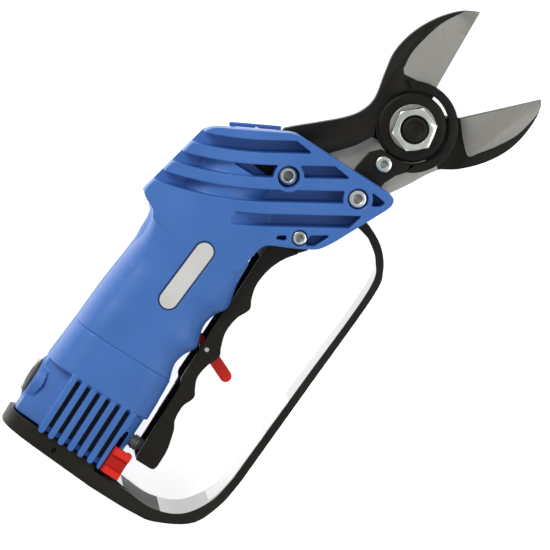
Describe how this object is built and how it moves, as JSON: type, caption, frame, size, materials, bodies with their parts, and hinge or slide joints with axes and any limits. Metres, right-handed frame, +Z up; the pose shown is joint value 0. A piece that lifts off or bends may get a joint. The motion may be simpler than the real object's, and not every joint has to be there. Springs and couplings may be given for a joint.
{
  "type": "battery electric pruner",
  "caption": "Hand-held powered pruner with a blue ribbed housing, twin curved blades, a sprung finger lever and a black hand guard",
  "frame": {"origin": "bottom centre of the bounding box, with the tool lying on its left cheek", "axes": "+X from the base of the handle to the blade tips, +Y to the back of the hand, +Z up through the right cheek"},
  "size_m": [0.2762, 0.1344, 0.0483],
  "materials": {
    "blue_shell": "moulded glass-filled nylon, fine texture",
    "black_moulding": "moulded nylon, satin",
    "red_plastic": "moulded, semi-gloss",
    "blade_steel": "forged, black coated, ground faces",
    "black_steel": "black phosphate",
    "zinc_steel": "bright zinc plated",
    "machined_steel": "turned",
    "bronze": "machined bronze",
    "circuit_board": "coated",
    "badge": "domed label, blank",
    "carrier_plastic": "moulded"
  },
  "bodies": {
    "housing": {"right_housing_shell": "blue_shell", "left_housing_shell": "blue_shell", "right_motor_cover": "blue_shell", "left_motor_cover": "blue_shell", "base_guard": "black_moulding", "service_cap": "black_moulding", "power_inlet": "black_moulding", "badge_plate": "badge", "fixed_blade": "blade_steel", "guide_plate": "black_steel", "thrust_disc": "black_steel", "pivot_bolt": "black_steel", "pivot_washer": "zinc_steel", "pivot_nut": "zinc_steel", "head_screw": "zinc_steel", "head_screw_nut": "zinc_steel", "front_screw": "zinc_steel", "front_screw_nut": "zinc_steel", "lever_pivot_screw": "zinc_steel", "lever_pivot_screw_nut": "zinc_steel", "guide_screw": "zinc_steel", "guide_spacer": "machined_steel", "right_clamp_block": "machined_steel", "left_clamp_block": "machined_steel", "clamp_pin": "machined_steel", "screw_bearing": "machined_steel", "bearing_carrier": "carrier_plastic", "gearbox": "machined_steel", "motor": "machined_steel", "control_board": "circuit_board", "trigger_sensor_board": "circuit_board", "plunger_bush": "machined_steel", "plunger_spring": "machined_steel"},
    "moving_blade": {"moving_blade": "blade_steel"},
    "screw_nut": {"screw_nut": "bronze"},
    "drive_links": {"right_drive_link": "machined_steel", "left_drive_link": "machined_steel", "link_pin": "machined_steel"},
    "ball_screw": {"ball_screw": "machined_steel"},
    "finger_lever": {"finger_lever": "black_moulding", "lock_pin": "zinc_steel"},
    "trigger_lock": {"trigger_lock": "red_plastic"},
    "plunger": {"plunger": "machined_steel"},
    "power_slider": {"power_slider": "red_plastic"}
  },
  "joints": [
    {"name": "blade_pivot", "type": "hinge", "parent": "housing", "child": "moving_blade", "pos_m": [0.0778, -0.02058, 0.024], "axis": [0, 0, -1], "range_deg": [0, 50]},
    {"name": "nut_travel", "type": "slide", "parent": "housing", "child": "screw_nut", "axis": [1, 0, 0], "range_m": [0, 0.0452]},
    {"name": "link_swing", "type": "hinge", "parent": "screw_nut", "child": "drive_links", "pos_m": [-0.01167, 0.03492, 0.024], "axis": [0, 0, 1], "range_deg": [0, 16.3]},
    {"name": "screw_spin", "type": "hinge", "parent": "housing", "child": "ball_screw", "pos_m": [-0.0007, 0.03492, 0.024], "axis": [1, 0, 0], "range_deg": [0, 3260]},
    {"name": "lever_squeeze", "type": "hinge", "parent": "housing", "child": "finger_lever", "pos_m": [0.0088, -0.00338, 0.024], "axis": [0, 0, -1], "range_deg": [0, 2], "stiffness_Nm_per_rad": 6, "springref_deg": -2.01},
    {"name": "plunger_travel", "type": "slide", "parent": "housing", "child": "plunger", "axis": [0, 1, 0], "range_m": [0, 0.0043], "deforming": ["plunger_spring"]},
    {"name": "lock_swing", "type": "hinge", "parent": "finger_lever", "child": "trigger_lock", "pos_m": [-0.0571, 0.00322, 0.024], "axis": [0, 0, -1], "range_deg": [0, 18], "stiffness_Nm_per_rad": 0.005, "springref_deg": -11.46},
    {"name": "slider_travel", "type": "slide", "parent": "housing", "child": "power_slider", "axis": [1, 0, 0], "range_m": [0, 0.004]}
  ],
  "couplings": [
    {"joint": "nut_travel", "follows": "blade_pivot", "m_per_rad": 0.0516},
    {"joint": "link_swing", "follows": "blade_pivot", "ratio": 0.32},
    {"joint": "screw_spin", "follows": "blade_pivot", "ratio": 64.843},
    {"joint": "plunger_travel", "follows": "lever_squeeze", "m_per_rad": 0.1203}
  ]
}
